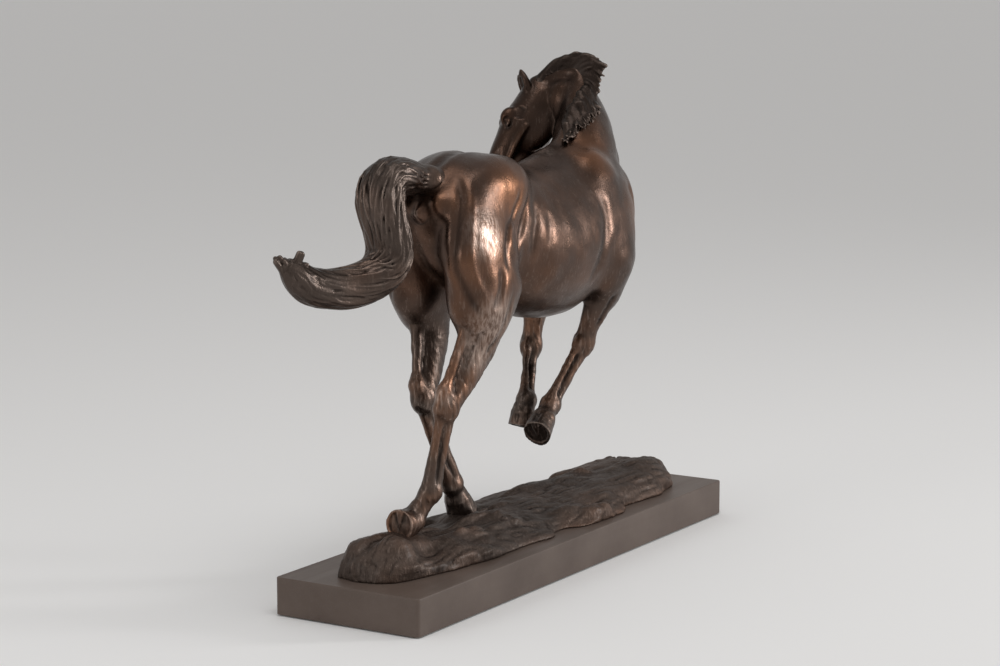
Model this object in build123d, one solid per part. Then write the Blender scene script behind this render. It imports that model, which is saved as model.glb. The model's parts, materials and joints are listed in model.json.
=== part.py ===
"""Cast bronze statuette of a galloping horse on a rocky bronze ground, bolted to a honed stone plinth.

Millimetres. +X is the way the horse faces, +Y its left side, +Z up. The origin is the middle of the
felt pad's underside, where the statuette rests. The horse pushes off with both hind hooves, its
forelegs are folded clear of the ground, its tail is carried high and streams out behind, and its neck
arches round to the left so that the head looks back past the left shoulder.

The horse is cast in sections (torso, neck, head, mane, tail and four legs), joined at the seams.
"""
from build123d import *
import os

# Driving dimensions
PLINTH_LENGTH, PLINTH_WIDTH, PLINTH_HEIGHT = 418.0, 112.0, 25.0
PLINTH_CORNER, PLINTH_EDGE = 3.0, 1.0
FELT_THICKNESS, FELT_INSET = 1.0, 3.0
PLINTH_TOP = FELT_THICKNESS + PLINTH_HEIGHT
GROUND_HALF_LENGTH, GROUND_HALF_WIDTH, GROUND_HEIGHT = 192.0, 42.0, 19.0
GROUND_TOP = PLINTH_TOP + GROUND_HEIGHT
GROUND_WALL = 5.0
CASTING_WALL = 5.0

# Hardware
BOLT_RADIUS, BOLT_CLEARANCE = 4.0, 0.1
BOLT_HEAD_ACROSS, BOLT_HEAD_HEIGHT = 13.0, 5.3
BOLT_X = (-110.0, 110.0)
BOLT_THREAD_DEPTH = 11.0
COUNTERBORE_RADIUS, COUNTERBORE_DEPTH = 11.0, 9.0
WASHER_RADIUS, WASHER_THICKNESS = 10.0, 1.6
BOSS_RADIUS = 9.0
PIN_RADIUS = 2.0

LEFT, RIGHT = 1, -1

# The barrel, as (x, height of the middle, half height, half width) from the dock to the breast.
BARREL = [
    (-116, 262, 10, 9),
    (-106, 257, 26, 21),
    (-90, 250, 42, 30),
    (-68, 246, 50, 35),
    (-38, 238, 54, 38),
    (-5, 230, 55, 42),
    (30, 227, 57, 43),
    (62, 230, 60, 38),
    (90, 232, 53, 34),
    (110, 235, 38, 27),
    (122, 238, 20, 16),
]
SHOULDER_SEAM_Z = 166.0
HAUNCH_SEAM_Z = 172.0

# Limbs, as (x, y, z, half width, half depth) from inside the torso to the hoof's coronet.
LIMB_LEVEL_ABOVE = 160.0
HIND_RIGHT = [
    (-74, -18, 262, 10, 20),
    (-72, -24, 250, 18, 42),
    (-68, -27, 222, 18, 44),
    (-72, -28, 198, 16, 33),
    (-88, -27, 178, 13, 23),
    (-101, -25, 158, 10.5, 16),
    (-112, -22, 144, 9, 13),
    (-119, -20, 130, 8.5, 12.5),
    (-121, -18, 116, 7, 9.5),
    (-122, -15, 98, 5.8, 7.2),
    (-124, -13, 84, 5.8, 7),
    (-125, -11, 75, 7.6, 8),
    (-131, -8, 65, 7.2, 7.6),
    (-138, -4, 57, 8, 8.3),
]
HIND_LEFT = [
    (-74, 18, 262, 10, 20),
    (-74, 24, 250, 18, 42),
    (-76, 26, 222, 18, 43),
    (-84, 25, 196, 15, 31),
    (-92, 23, 174, 12, 20),
    (-94, 19, 154, 10, 14),
    (-96, 16, 140, 9, 12.5),
    (-92, 14, 126, 8.2, 12),
    (-86, 13, 112, 7, 9),
    (-77, 11, 94, 5.8, 7),
    (-70, 10, 78, 5.8, 7),
    (-67, 9, 67, 7.7, 8),
    (-62, 9, 57, 8, 8.3),
]
FORE_RIGHT = [
    (74, -16, 258, 8, 16),
    (76, -22, 248, 13, 27),
    (86, -24, 222, 14, 27),
    (80, -25, 198, 12, 20),
    (77, -20, 176, 9.5, 13),
    (76, -14, 158, 8, 10),
    (74, -10, 146, 8.6, 9.6),
    (68, -8, 136, 7, 7.6),
    (60, -5, 124, 5, 6),
    (52, -3, 112, 5.2, 6.2),
    (46, -2, 105, 7, 7.3),
    (39, -3, 100.5, 6.8, 7.2),
    (33, -4, 97, 7.2, 7.5),
]
FORE_LEFT = [
    (74, 16, 258, 8, 16),
    (76, 22, 248, 13, 27),
    (86, 25, 222, 14, 27),
    (80, 28, 198, 12, 20),
    (76, 30, 176, 9.5, 13),
    (73, 31, 155, 8, 10),
    (70, 30, 141, 8.6, 9.6),
    (64, 27, 131, 7, 7.6),
    (56, 23, 121, 5, 6),
    (51, 20.5, 113, 5.2, 6.2),
    (47, 19, 106, 7, 7.3),
    (43.5, 19.5, 99, 7, 7.3),
]
HIND_RIGHT_HOOF = ((-138, -4, 57), (-151, -3, 58))
HIND_LEFT_HOOF = ((-62, 9, 57), (-57, 8.5, 44.5))
FORE_RIGHT_HOOF = ((33, -4, 97), (21, -7, 90.5))
FORE_LEFT_HOOF = ((43.5, 19.5, 98), (40.5, 20, 88))
HIND_HOOF_RADIUS, FORE_HOOF_RADIUS = 9.2, 8.2


# Neck, from inside the breast round to the poll, as (centre, its own forward direction, its left side,
# half width, half depth). The left side turns with the bend until it faces back and right.
NECK = [
    ((84, 0, 250), (0.5, 0, 0.87), (0, 1, 0), 24, 44),
    ((97, 0, 270), (0.45, 0, 0.89), (-0.1, 1, 0), 20.5, 37),
    ((107, 4, 290), (0.25, 0.2, 0.95), (-0.3, 0.94, -0.05), 18, 32),
    ((112, 11, 307), (0, 0.45, 0.88), (-0.6, 0.75, -0.27), 15.5, 27),
    ((111, 24, 318), (-0.3, 0.8, 0.5), (-0.88, 0, -0.2), 13.5, 22),
    ((101, 36, 317), (-0.5, 0.85, 0.1), (-0.84, -0.52, 0.16), 10.5, 16),
]
NECK_SEAM = Plane(origin=(104, 0, 284), z_dir=Vector(0.4, 0.08, 0.91))

# Mane, from the withers up the crest to the poll, lying over to the right.
MANE = [
    (36, 1, 286, 2.5, 4),
    (52, 1, 294, 3.5, 6),
    (66, 0, 302, 4.5, 8),
    (80, -1, 311, 6, 10),
    (91, -3, 322, 7, 12),
    (100, -2, 333, 8, 13),
    (106, 6, 341, 8, 12),
    (105, 19, 343, 7, 10),
    (101, 31, 339, 5, 7),
    (97, 40, 334, 3, 4),
]

# Head, as (distance from the poll, half width, half depth, rise of the middle towards the forehead).
POLL = Vector(97, 41, 318)
HEAD_AXIS = Vector(-0.47, 0.22, -0.855).normalized()
HEAD_SIDE = Vector(-0.84, -0.52, 0.16)
HEAD = [
    (-10, 8, 9, 0),
    (2, 12, 15, -1),
    (14, 13.5, 19, -3),
    (26, 13.5, 19.5, -3),
    (38, 11.5, 16, -1.5),
    (52, 9, 12, 0),
    (68, 7.8, 9.6, 0.5),
    (84, 7.4, 8.6, 0),
    (94, 7, 7.8, -0.5),
    (99, 4, 4.5, -1),
]
EAR_LENGTH, EAR_RADIUS, EAR_SPREAD = 16.0, 4.4, 7.0

# Tail, from inside the croup, over its arch and out to the flicked end.
TAIL = [
    (-98, 0, 276, 7.5, 8.5),
    (-112, 2, 281, 8, 9),
    (-125, 3, 283, 10, 11),
    (-139, 4.5, 283.5, 12.5, 13.5),
    (-152, 7.5, 279, 14, 15),
    (-156.5, 8, 266, 14.5, 15.5),
    (-154, 4, 252, 14, 15),
    (-153, 2.5, 238, 14, 15),
    (-158, 4, 226, 14, 15),
    (-170, 9, 219.5, 12.5, 14.5),
    (-185, 14, 217, 10.5, 14),
    (-200, 19, 218, 9.5, 12.5),
    (-213, 23.5, 221.5, 9, 12),
    (-224, 26, 229, 7.5, 10),
    (-236, 29, 240, 4.5, 5),
]

# Ground outline as a share of its half width at each share of its half length, left side then right.
GROUND_LEFT_SHARE = [(-0.92, 0.55), (-0.7, 0.86), (-0.35, 1.0), (0.05, 0.93), (0.45, 1.0), (0.8, 0.72)]
GROUND_RIGHT_SHARE = [(0.86, -0.8), (0.5, -0.97), (0.1, -1.0), (-0.4, -0.97), (-0.75, -0.75), (-0.96, -0.4)]


def section(centre, forward, side, half_width, half_depth):
    """An oval across forward, its half width along side; half depth is always the larger."""
    across = side - forward * (side.dot(forward) / forward.dot(forward))
    outline = Plane(origin=centre, x_dir=across, z_dir=forward) * Ellipse(half_width, half_depth)
    return Wire([outline.edges()[0]])


def tube(stations, side=Vector(0, 1, 0), level_above=LIMB_LEVEL_ABOVE):
    """A lofted limb through stations of (x, y, z, half width, half depth).

    Each section is square to the path, apart from those higher than level_above, which are level.
    """
    centres = [Vector(*station[:3]) for station in stations]
    last = len(stations) - 1
    wires = []
    for i, (x, y, z, half_width, half_depth) in enumerate(stations):
        forward = Vector(0, 0, -1) if z > level_above else centres[min(i + 1, last)] - centres[max(i - 1, 0)]
        wires.append(section(Vector(x, y, z), forward, side, half_width, half_depth))
    return Solid.make_loft(wires)


def barrel(shrink=0.0, first=0, last=None):
    """The trunk through BARREL's stations, each half height and width less by shrink."""
    wires = []
    for x, z, half_height, half_width in BARREL[first:last]:
        centre = Vector(x, 0, z)
        half = (half_width - shrink, half_height - shrink)
        wires.append(section(centre, Vector(1, 0, 0), Vector(0, 1, 0), *half))
    return Solid.make_loft(wires)


def hoof(coronet, sole, radius, flare=1.18):
    """A hoof as a frustum from the coronet to the sole, a little wider at the sole."""
    start, end = Vector(*coronet), Vector(*sole)
    along = end - start
    rings = [(0.0, 0.86), (0.12, 1.0), (1.0, flare)]
    wires = [section(start + along * t, along, Vector(0, 1, 0), radius * k, radius * k * 1.03) for t, k in rings]
    return Solid.make_loft(wires, True)


def halves(solid, plane):
    """(behind, ahead) of a solid cut by plane."""
    behind = split(solid, bisect_by=plane, keep=Keep.BOTTOM)
    return behind, split(solid, bisect_by=plane, keep=Keep.TOP)


def legs():
    """{node name: lower leg with its hoof} and the four upper limbs that belong to the torso."""
    plans = {
        "hind_leg_right": (HIND_RIGHT, HIND_RIGHT_HOOF, HAUNCH_SEAM_Z),
        "hind_leg_left": (HIND_LEFT, HIND_LEFT_HOOF, HAUNCH_SEAM_Z),
        "foreleg_right": (FORE_RIGHT, FORE_RIGHT_HOOF, SHOULDER_SEAM_Z),
        "foreleg_left": (FORE_LEFT, FORE_LEFT_HOOF, SHOULDER_SEAM_Z),
    }
    lower, upper = {}, []
    for name, (stations, (coronet, sole), seam_z) in plans.items():
        below, above = halves(tube(stations), Plane(origin=(0, 0, seam_z)))
        upper.append(above)
        radius = HIND_HOOF_RADIUS if name.startswith("hind") else FORE_HOOF_RADIUS
        lower[name] = below + hoof(coronet, sole, radius)
    return lower, upper


def standing(leg):
    """A hind leg with its hoof dressed flat where it meets the top of the ground."""
    return split(leg, bisect_by=Plane(origin=(0, 0, GROUND_TOP)), keep=Keep.TOP)


def torso(upper_limbs):
    """The trunk with both shoulders and haunches and the root of the neck, hollow as cast."""
    neck_root, _ = halves(neck_whole(), NECK_SEAM)
    body = barrel()
    for piece in [*upper_limbs, neck_root]:
        body = body.fuse(piece)
    return body.cut(barrel(shrink=CASTING_WALL, first=2, last=9))


def neck_whole():
    wires = []
    for centre, forward, side, half_width, half_depth in NECK:
        wires.append(section(Vector(*centre), Vector(*forward), Vector(*side), half_width, half_depth))
    return Solid.make_loft(wires)


def largest(shape):
    """The biggest solid of a cut shape, without the slivers that the cut leaves."""
    return shape.solids().sort_by(SortBy.VOLUME)[-1]


def mane_whole():
    """A thick roll of hair along the crest of the neck, from the withers to the poll."""
    return tube(MANE, level_above=PLINTH_LENGTH)


def head():
    """The skull, cheeks and muzzle with two pricked ears."""
    side = (HEAD_SIDE - HEAD_AXIS * HEAD_SIDE.dot(HEAD_AXIS)).normalized()
    brow = side.cross(HEAD_AXIS) * -1
    wires = []
    for distance, half_width, half_depth, rise in HEAD:
        centre = POLL + HEAD_AXIS * distance + brow * rise
        wires.append(section(centre, HEAD_AXIS, side, half_width, half_depth))
    skull = Solid.make_loft(wires)
    for sign in (LEFT, RIGHT):
        root = POLL + HEAD_AXIS * 1 + brow * 9 + side * (sign * EAR_SPREAD)
        tip = root + (brow * 0.7 - HEAD_AXIS * 0.69 + side * (sign * 0.12)).normalized() * EAR_LENGTH
        rings = [(0.0, 0.9), (0.4, 1.0), (0.8, 0.55), (1.0, 0.15)]
        rise = tip - root
        wires = [section(root + rise * t, rise, side, EAR_RADIUS * k * 0.8, EAR_RADIUS * k) for t, k in rings]
        skull = skull + Solid.make_loft(wires)
    return skull


def ground_outline(scale, z):
    """The ground's closed outline, shrunk to scale, at height z."""
    points = [(-1.0, 0.0), *GROUND_LEFT_SHARE, (1.0, 0.0), *GROUND_RIGHT_SHARE]
    placed = [
        Vector(x * GROUND_HALF_LENGTH * scale, y * GROUND_HALF_WIDTH * scale, z) for x, y in points
    ]
    return Wire([Edge.make_spline(placed, periodic=True)])


def ground():
    """The cast ground: a low rocky mound, open underneath, with a boss for each bolt."""
    rings = [(0.97, PLINTH_TOP), (1.0, PLINTH_TOP + 5), (0.95, PLINTH_TOP + 12), (0.86, GROUND_TOP)]
    shell = Solid.make_loft([ground_outline(scale, z) for scale, z in rings])
    inside = Solid.make_loft([ground_outline(0.87, PLINTH_TOP), ground_outline(0.8, GROUND_TOP - GROUND_WALL)])
    shell = shell - inside
    for x in BOLT_X:
        boss = Cylinder(BOSS_RADIUS, GROUND_HEIGHT - 2, align=(Align.CENTER, Align.CENTER, Align.MIN))
        bore = Cylinder(BOLT_RADIUS, BOLT_THREAD_DEPTH + 1, align=(Align.CENTER, Align.CENTER, Align.MIN))
        place = Pos(x, 0, PLINTH_TOP)
        shell = (shell + place * boss) - place * bore
    return shell


def plinth():
    """The stone slab, softly edged, with a counterbored hole for each bolt."""
    slab = Box(PLINTH_LENGTH, PLINTH_WIDTH, PLINTH_HEIGHT, align=(Align.CENTER, Align.CENTER, Align.MIN))
    slab = fillet(slab.edges().filter_by(Axis.Z), PLINTH_CORNER)
    slab = fillet(slab.faces().sort_by(Axis.Z)[-1].edges(), PLINTH_EDGE)
    slab = Pos(0, 0, FELT_THICKNESS) * slab
    for x in BOLT_X:
        hole = Cylinder(BOLT_RADIUS + BOLT_CLEARANCE, PLINTH_HEIGHT, align=(Align.CENTER, Align.CENTER, Align.MIN))
        counterbore = Cylinder(COUNTERBORE_RADIUS, COUNTERBORE_DEPTH, align=(Align.CENTER, Align.CENTER, Align.MIN))
        slab = slab - Pos(x, 0, FELT_THICKNESS) * (hole + counterbore)
    return slab


def felt_pad():
    length, width = PLINTH_LENGTH - 2 * FELT_INSET, PLINTH_WIDTH - 2 * FELT_INSET
    pad = Box(length, width, FELT_THICKNESS, align=(Align.CENTER, Align.CENTER, Align.MIN))
    return fillet(pad.edges().filter_by(Axis.Z), PLINTH_CORNER)


def washers():
    z = FELT_THICKNESS + COUNTERBORE_DEPTH - WASHER_THICKNESS
    ring = Cylinder(WASHER_RADIUS, WASHER_THICKNESS, align=(Align.CENTER, Align.CENTER, Align.MIN))
    hole = Cylinder(BOLT_RADIUS + BOLT_CLEARANCE, WASHER_THICKNESS, align=(Align.CENTER, Align.CENTER, Align.MIN))
    return Compound(children=[Pos(x, 0, z) * (ring - hole) for x in BOLT_X])


def bolts():
    """Hexagon-head bolts from under the plinth into the ground's bosses."""
    seat = FELT_THICKNESS + COUNTERBORE_DEPTH - WASHER_THICKNESS
    length = PLINTH_TOP - seat + BOLT_THREAD_DEPTH
    hexagon = RegularPolygon(BOLT_HEAD_ACROSS / 2, 6, major_radius=False)
    made = []
    for x in BOLT_X:
        head_solid = Pos(x, 0, seat - BOLT_HEAD_HEIGHT) * extrude(hexagon, BOLT_HEAD_HEIGHT)
        shank = Cylinder(BOLT_RADIUS - BOLT_CLEARANCE, length, align=(Align.CENTER, Align.CENTER, Align.MIN))
        made.append(head_solid + Pos(x, 0, seat) * shank)
    return Compound(children=made)


def hoof_pins():
    """Bronze dowels that hold the two planted hooves to the ground."""
    low = GROUND_TOP - GROUND_WALL
    made = []
    for x, y, high in ((-58, 8.5, 51), (-145, -3.5, 57)):
        pin = Cylinder(PIN_RADIUS, high - low, align=(Align.CENTER, Align.CENTER, Align.MIN))
        made.append(Pos(x, y, low) * pin)
    return Compound(children=made)


def main():
    lower_legs, upper_limbs = legs()
    trunk = torso(upper_limbs)
    _, neck = halves(neck_whole(), NECK_SEAM)
    skull = head()
    nodes = {
        "plinth": plinth(),
        "felt_pad": felt_pad(),
        "bolts": bolts(),
        "washers": washers(),
        "torso": trunk,
        "neck": neck - skull,
        "head": skull,
        "mane": largest(mane_whole() - neck - trunk - skull),
        "tail": tube(TAIL, level_above=PLINTH_LENGTH) - trunk,
    }
    pins = hoof_pins()
    for name, leg in lower_legs.items():
        nodes[name] = standing(leg) - pins if name.startswith("hind") else leg
    nodes["ground"] = ground() - pins
    nodes["hoof_pins"] = pins
    os.makedirs("parts", exist_ok=True)
    for name, shape in nodes.items():
        export_step(shape, f"parts/{name}.step")


main()
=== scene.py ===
"""Bronze statuette of a galloping horse that looks back, on its modelled ground and stone plinth.

The horse and its ground are sculpted in a distance field: rounded masses, chains of ovals and hair
strands are blended into clay on a grid, which is meshed and cut into the castings at their seams.
Sculpting is in millimetres, in the row frame: +X the way the horse faces, +Y its left, +Z up.
"""
import json

import bmesh
import bpy
import numpy as np
import openvdb
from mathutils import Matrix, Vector

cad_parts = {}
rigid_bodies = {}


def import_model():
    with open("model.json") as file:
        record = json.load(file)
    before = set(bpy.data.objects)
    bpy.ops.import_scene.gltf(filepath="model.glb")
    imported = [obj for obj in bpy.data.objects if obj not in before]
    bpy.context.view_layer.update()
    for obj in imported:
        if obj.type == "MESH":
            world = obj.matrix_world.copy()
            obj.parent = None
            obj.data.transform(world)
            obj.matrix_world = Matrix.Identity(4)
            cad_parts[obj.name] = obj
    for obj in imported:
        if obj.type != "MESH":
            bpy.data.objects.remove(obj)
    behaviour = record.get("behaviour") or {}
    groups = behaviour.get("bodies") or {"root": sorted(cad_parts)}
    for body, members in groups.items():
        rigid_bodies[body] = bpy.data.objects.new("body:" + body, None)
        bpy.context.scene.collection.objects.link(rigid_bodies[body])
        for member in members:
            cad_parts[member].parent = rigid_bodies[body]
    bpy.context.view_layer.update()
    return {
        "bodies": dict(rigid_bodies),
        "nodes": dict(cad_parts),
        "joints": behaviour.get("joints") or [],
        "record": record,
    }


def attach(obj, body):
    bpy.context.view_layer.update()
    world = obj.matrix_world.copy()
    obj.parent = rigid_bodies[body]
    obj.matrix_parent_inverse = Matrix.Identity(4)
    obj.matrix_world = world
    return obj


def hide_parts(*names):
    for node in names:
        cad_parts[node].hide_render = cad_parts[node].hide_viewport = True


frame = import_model()

MM = 0.001
FAR = 40.0  # the distance that stands for empty space
MARGIN = 9.0  # how far past a shape its blend may reach
LEAST = 1e-4  # keeps a division off zero
COARSE = 1.0
Y_AXIS = np.array([0.0, 1.0, 0.0])
RIGHT, LEFT = -1.0, 1.0


def vec(*values):
    return np.array(values, float)


def unit(v):
    v = np.asarray(v, float)
    return v / np.linalg.norm(v)


def square_to(v, along):
    """The part of v that is square to along, made one long."""
    return unit(v - along * np.dot(v, along))


def curve(points, per_span):
    """A smooth curve through rows of numbers: a Catmull-Rom spline, per_span samples to each span."""
    rows = np.asarray(points, float)
    ends = np.vstack([2 * rows[0] - rows[1], rows, 2 * rows[-1] - rows[-2]])
    out = []
    for i in range(len(rows) - 1):
        p0, p1, p2, p3 = ends[i:i + 4]
        for t in np.arange(per_span) / per_span:
            cubic = 3 * p1 - p0 - 3 * p2 + p3
            square = 2 * p0 - 5 * p1 + 4 * p2 - p3
            out.append(0.5 * (2 * p1 + (p2 - p0) * t + square * t * t + cubic * t ** 3))
    out.append(rows[-1])
    return np.array(out)


def smooth_min(a, b, blend):
    mix = np.clip(0.5 + 0.5 * (b - a) / blend, 0, 1)
    return b + (a - b) * mix - blend * mix * (1 - mix)


def off_oval(near, far):
    """About how far outside an oval a place is, from its distance in radii and in squared radii."""
    return near * (near - 1) / np.maximum(far, LEAST)


def row_between(rows, places, at):
    """The row of numbers at a place between those of the rows."""
    return np.array([np.interp(at, places, column) for column in rows.T])


class Clay:
    """A signed distance field on a regular grid, negative inside."""

    def __init__(self, low, high, step):
        self.step = step * COARSE
        self.low = np.array(low, float)
        self.size = np.ceil((np.array(high, float) - self.low) / self.step).astype(int) + 1
        self.field = np.full(self.size, FAR, np.float32)

    def window(self, low, high):
        """The slices, and the X, Y and Z of the grid's points, from corner low to corner high."""
        first = np.clip(np.floor((low - self.low) / self.step).astype(int), 0, self.size - 1)
        last = np.clip(np.ceil((high - self.low) / self.step).astype(int) + 1, 1, self.size)
        last = np.maximum(last, first)
        cut = tuple(slice(a, b) for a, b in zip(first, last))
        axes = [self.low[i] + self.step * np.arange(first[i], last[i], dtype=np.float32) for i in range(3)]
        x, y, z = (a.astype(np.float32) for a in axes)
        return cut, (x[:, None, None], y[None, :, None], z[None, None, :])

    def add(self, low, high, distance, blend, sign=1):
        """Blends in a shape, given by its distance, between low and high; sign -1 takes it away."""
        cut, place = self.window(np.asarray(low) - MARGIN, np.asarray(high) + MARGIN)
        if self.field[cut].size:
            self.field[cut] = sign * smooth_min(sign * self.field[cut], distance(*place), blend)

    def mass(self, centre, radii, along=(1, 0, 0), side=(0, 1, 0), blend=6.0):
        """An egg: radii are along, to the side, and square to both."""
        centre = np.asarray(centre, float)
        u = unit(along)
        v = square_to(np.asarray(side, float), u)
        w = np.cross(u, v)
        reach = np.sqrt((u * radii[0]) ** 2 + (v * radii[1]) ** 2 + (w * radii[2]) ** 2)

        def distance(x, y, z):
            dx, dy, dz = x - centre[0], y - centre[1], z - centre[2]
            near, far = 0, 0
            for axis, radius in zip((u, v, w), radii):
                part = dx * axis[0] + dy * axis[1] + dz * axis[2]
                near = near + (part / radius) ** 2
                far = far + (part / radius ** 2) ** 2
            return off_oval(np.sqrt(near), np.sqrt(far))

        self.add(centre - reach, centre + reach, distance, blend)

    def chain(self, stations, side=(0, 1, 0), blend=5.0, per_span=5):
        """A limb through stations of (x, y, z, half width along side, half depth), side may follow."""
        path = curve(stations, per_span)
        points, widths, depths = path[:, :3], path[:, 3], path[:, 4]
        reach = np.maximum(widths, depths).max()
        low, high = points.min(0) - reach, points.max(0) + reach
        cut, _ = self.window(low - MARGIN, high + MARGIN)
        new = np.full(self.field[cut].shape, FAR, np.float32)
        corner = [c.start for c in cut]
        sides = path[:, 5:8] if path.shape[1] == 8 else np.tile(np.asarray(side, float), (len(path), 1))
        for i in range(len(points) - 1):
            a, b = points[i], points[i + 1]
            along = unit(b - a)
            across = square_to(sides[i], along)
            deep = np.cross(along, across)
            span = np.linalg.norm(b - a)
            near_reach = max(widths[i:i + 2].max(), depths[i:i + 2].max()) + MARGIN
            part, (x, y, z) = self.window(np.minimum(a, b) - near_reach, np.maximum(a, b) + near_reach)
            inner = tuple(slice(p.start - c, p.stop - c) for p, c in zip(part, corner))
            if new[inner].size == 0:
                continue
            dx, dy, dz = x - a[0], y - a[1], z - a[2]
            run = dx * along[0] + dy * along[1] + dz * along[2]
            share = np.clip(run / span, 0, 1)
            wide = widths[i] + (widths[i + 1] - widths[i]) * share
            thick = depths[i] + (depths[i + 1] - depths[i]) * share
            past = run - share * span
            u = dx * across[0] + dy * across[1] + dz * across[2]
            v = dx * deep[0] + dy * deep[1] + dz * deep[2]
            blunt = np.minimum(wide, thick)
            near = np.sqrt((u / wide) ** 2 + (v / thick) ** 2 + (past / blunt) ** 2)
            far = np.sqrt((u / wide ** 2) ** 2 + (v / thick ** 2) ** 2 + (past / blunt ** 2) ** 2)
            new[inner] = np.minimum(new[inner], off_oval(near, far))
        self.field[cut] = smooth_min(self.field[cut], new, blend)

    def rope(self, points, radius, end_radius):
        """A round tapering strand through points."""
        rows = np.asarray(points, float)
        radii = np.linspace(radius, end_radius, len(rows))
        self.chain(np.column_stack([rows, radii, radii]), side=(0.31, 0.87, 0.38), blend=1.0, per_span=3)

    def settled(self, points):
        """The points moved on to the surface of the clay, as it is now; those outside the grid stay."""
        places = np.array(points, float)
        inside = np.all((places > self.low + 4) & (places < self.low + self.step * self.size - 4), axis=1)
        for _ in range(5):
            value = sampled(self.field, (places - self.low) / self.step)
            slope = np.stack([
                sampled(self.field, (places + e - self.low) / self.step) -
                sampled(self.field, (places - e - self.low) / self.step) for e in np.eye(3)
            ], axis=1) / 2
            step = slope * (np.clip(value, -6, 6) / np.maximum((slope ** 2).sum(1), 0.3))[:, None]
            places[inside] -= step[inside]
        return places

    def crease(self, points, depth, width):
        """A furrow that follows points on the surface and fades at its ends; a negative depth is a ridge."""
        path = curve(self.settled(points), 5)
        reach = 3.0 * width
        cut, (x, y, z) = self.window(path.min(0) - reach, path.max(0) + reach)
        if self.field[cut].size == 0:
            return
        nearest = np.full(self.field[cut].shape, 1e6, np.float32)
        run = np.zeros(self.field[cut].shape, np.float32)
        for i, (a, b) in enumerate(zip(path[:-1], path[1:])):
            span = b - a
            dx, dy, dz = x - a[0], y - a[1], z - a[2]
            share = np.clip((dx * span[0] + dy * span[1] + dz * span[2]) / np.dot(span, span), 0, 1)
            away = (dx - share * span[0]) ** 2 + (dy - share * span[1]) ** 2 + (dz - share * span[2]) ** 2
            run = np.where(away < nearest, (i + share) / (len(path) - 1), run)
            nearest = np.minimum(nearest, away)
        fade = np.clip(np.minimum(run, 1 - run) * 4, 0, 1)
        self.field[cut] += depth * fade * fade * (3 - 2 * fade) * np.exp(-nearest / width ** 2)

    def roughen(self, size, cell, draw, skew):
        """The hand of the modeller: soft unevenness of the given size over the given cell."""
        cut, (x, y, z) = self.window(self.low, self.low + self.step * self.size)
        noise = value_noise(*np.broadcast_arrays(x + skew * z, y, z), cell, draw)
        self.field[cut] += size * noise.reshape(self.field[cut].shape)


# The trunk, as (x, height of its top line, height of its under line, half width).
TRUNK = [
    (-119, 268, 252, 7),
    (-113, 278, 236, 16),
    (-103, 288, 222, 24),
    (-86, 296, 208, 31),
    (-66, 297, 200, 34),
    (-40, 291, 190, 35),
    (-10, 282, 178, 41),
    (22, 282, 171, 43),
    (52, 286, 171, 42),
    (78, 288, 178, 37),
    (98, 284, 188, 31),
    (114, 273, 204, 25),
    (127, 256, 218, 14),
]

# Joints of each leg, in the order hip or shoulder, stifle or elbow, hock or knee, fetlock, coronet, sole.
HIND_RIGHT = [
    (-84, -20, 262), (-78, -29, 203), (-119, -20, 134), (-125, -11, 74.5), (-138, -4, 57), (-151, -3, 58),
]
HIND_LEFT = [
    (-87, 20, 262), (-69, 27, 205), (-95, 15, 133), (-67, 9, 67), (-62, 9, 56.5), (-57, 8.5, 44.5),
]
FORE_RIGHT = [
    (92, -22, 250), (82, -26, 194), (76, -11, 146), (46, -2, 105), (33, -3.5, 97), (20, -5.5, 90.5),
]
FORE_LEFT = [
    (92, 20, 250), (77, 27, 192), (71, 30, 141), (47, 19, 106), (43.5, 19.5, 98), (40.5, 20, 88),
]
# The radius of each hoof at its coronet.
HIND_HOOF, FORE_HOOF = 9.0, 8.4

# The neck, as (x, y, z, half width, half depth, and its left side's direction), breast to poll.
NECK = [
    (76, 0, 244, 28, 46, 0, 1, 0),
    (93, 0, 265, 24, 41, -0.05, 1, 0),
    (104, 4, 287, 21, 35, -0.18, 0.97, -0.05),
    (111, 11, 306, 17.5, 28, -0.45, 0.88, -0.15),
    (112, 24, 317.5, 13.5, 21.5, -0.93, 0.1, -0.17),
    (102, 35, 316.5, 11.5, 17.5, -0.86, -0.4, 0.05),
    (95, 43, 316, 10, 13, -0.8, -0.55, 0.2),
]
# The middle line of the crest, as (x, y, z), from behind the withers to the poll.
CREST = [
    (8, 3, 273), (24, 4, 276), (38, 4, 280), (52, 3.5, 285.5), (65, 3, 291), (78, 3, 298), (89, 4, 307),
    (99, 6, 317.5), (106, 8, 329), (108, 14, 338), (106, 25, 338.5), (101, 35, 335), (97, 42, 331),
]
# Seams between castings: a place and the way the seam faces, or the height of a level seam.
NECK_SEAM = (vec(104, 0, 284), vec(0.4, 0.08, 0.91))
HEAD_SEAM = (vec(105, 28, 322), vec(-0.5, 0.85, 0.1))
SHOULDER_SEAM = 166.0
HAUNCH_SEAM = 172.0

# The head: the top of its back, the way the face runs down, its left side, and the way its brow faces.
POLL = vec(97, 41, 318)
HEAD_DOWN = unit((-0.47, 0.22, -0.855))
HEAD_SIDE = square_to(vec(-0.84, -0.52, 0.16), HEAD_DOWN)
HEAD_BROW = np.cross(HEAD_DOWN, HEAD_SIDE)


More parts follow.
